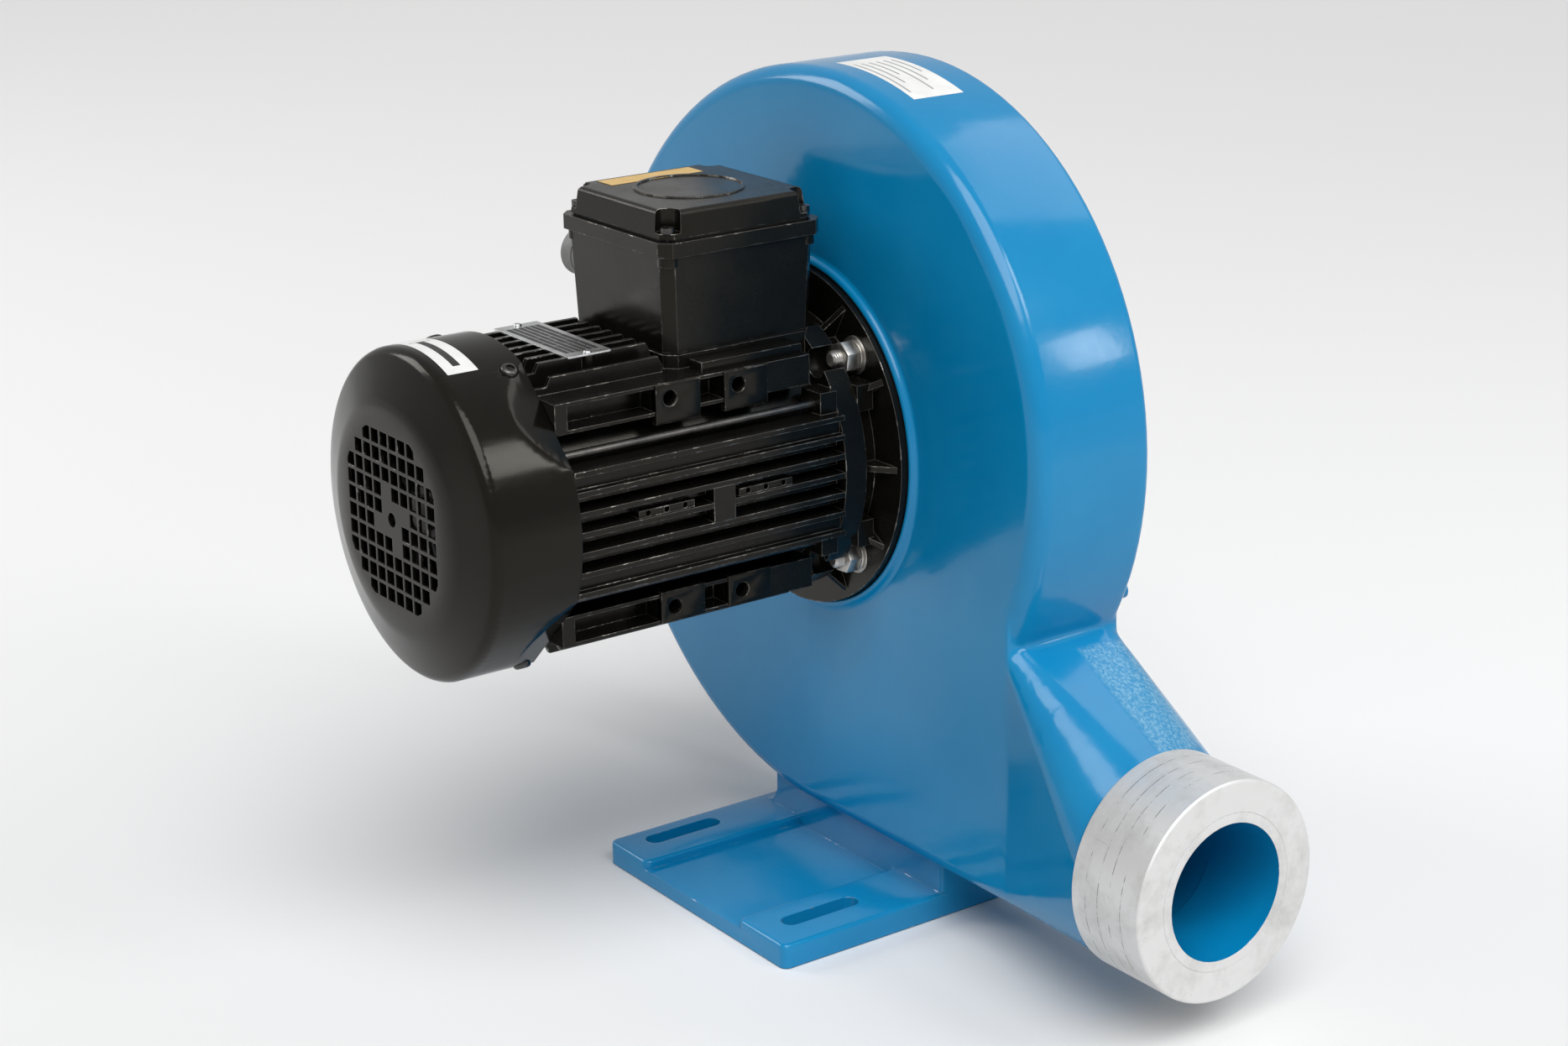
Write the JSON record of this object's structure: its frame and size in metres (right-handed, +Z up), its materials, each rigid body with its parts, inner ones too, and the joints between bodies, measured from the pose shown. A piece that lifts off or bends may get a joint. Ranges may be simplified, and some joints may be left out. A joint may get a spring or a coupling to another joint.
{
  "type": "radial blower",
  "caption": "Motor-driven radial blower: cast scroll casing with a foot and a round side outlet, closed impeller, finned flange motor with fan cowl and terminal box.",
  "frame": {"origin": "underside of the foot, below the shaft, in the plane of the casing's motor side", "axes": "+Z up; +Y along the shaft from the motor to the inlet; +X the way the outlet blows"},
  "size_m": [0.5335, 0.4057, 0.4812],
  "materials": {
    "casing_paint": "glossy blue paint on cast metal",
    "motor_paint": "semi-gloss black paint",
    "turned_aluminium": "turned, fine lines",
    "plate_aluminium": "satin",
    "impeller_aluminium": "cast, plain",
    "stainless": "satin",
    "dark_steel": "blackened",
    "shaft_steel": "ground",
    "bearing_steel": "polished",
    "cage_brass": "satin",
    "core_steel": "stamped laminations",
    "winding_copper": "varnished copper wire",
    "gasket_rubber": "matte",
    "gland_plastic": "matte grey",
    "fan_plastic": "matte black"
  },
  "bodies": {
    "casing": {"scroll_housing": "casing_paint", "inlet_cover": "casing_paint", "motor_frame": "motor_paint", "drive_end_shield": "motor_paint", "rear_end_shield": "motor_paint", "fan_cowl": "motor_paint", "terminal_box_body": "motor_paint", "terminal_box_lid": "motor_paint", "outlet_collar": "turned_aluminium", "rating_plate": "plate_aluminium", "plate_rivets": "plate_aluminium", "cover_screws": "stainless", "flange_studs": "stainless", "flange_washers": "stainless", "flange_nuts": "stainless", "lid_screws": "stainless", "tie_bolts": "dark_steel", "cowl_screws": "dark_steel", "box_screws": "dark_steel", "preload_spring": "dark_steel", "front_outer_race": "bearing_steel", "rear_outer_race": "bearing_steel", "terminal_studs": "cage_brass", "terminal_links": "cage_brass", "stator_core": "core_steel", "stator_windings": "winding_copper", "cover_gasket": "gasket_rubber", "box_gasket": "gasket_rubber", "lid_gasket": "gasket_rubber", "shaft_seal": "gasket_rubber", "gland_plug": "gasket_rubber", "cable_gland": "gland_plastic", "gland_lock_nut": "gland_plastic", "terminal_board": "fan_plastic"},
    "rotor": {"motor_shaft": "shaft_steel", "rotor_core": "core_steel", "front_inner_race": "bearing_steel", "rear_inner_race": "bearing_steel", "spacer_sleeve": "shaft_steel", "impeller": "impeller_aluminium", "impeller_key": "shaft_steel", "impeller_washer": "stainless", "impeller_bolt": "stainless", "cooling_fan": "fan_plastic", "fan_clip": "dark_steel"},
    "front_ball_set": {"front_balls": "bearing_steel", "front_cage": "cage_brass"},
    "rear_ball_set": {"rear_balls": "bearing_steel", "rear_cage": "cage_brass"}
  },
  "joints": [
    {"name": "rotor_spin", "type": "hinge", "parent": "casing", "child": "rotor", "pos_m": [0, 0, 0.27], "axis": [0, -1, 0], "continuous": true},
    {"name": "front_balls_spin", "type": "hinge", "parent": "casing", "child": "front_ball_set", "pos_m": [0, -0.025, 0.27], "axis": [0, -1, 0], "continuous": true},
    {"name": "rear_balls_spin", "type": "hinge", "parent": "casing", "child": "rear_ball_set", "pos_m": [0, -0.2125, 0.27], "axis": [0, -1, 0], "continuous": true}
  ],
  "couplings": [
    {"joint": "front_balls_spin", "follows": "rotor_spin", "ratio": 0.4039},
    {"joint": "rear_balls_spin", "follows": "rotor_spin", "ratio": 0.4039}
  ]
}
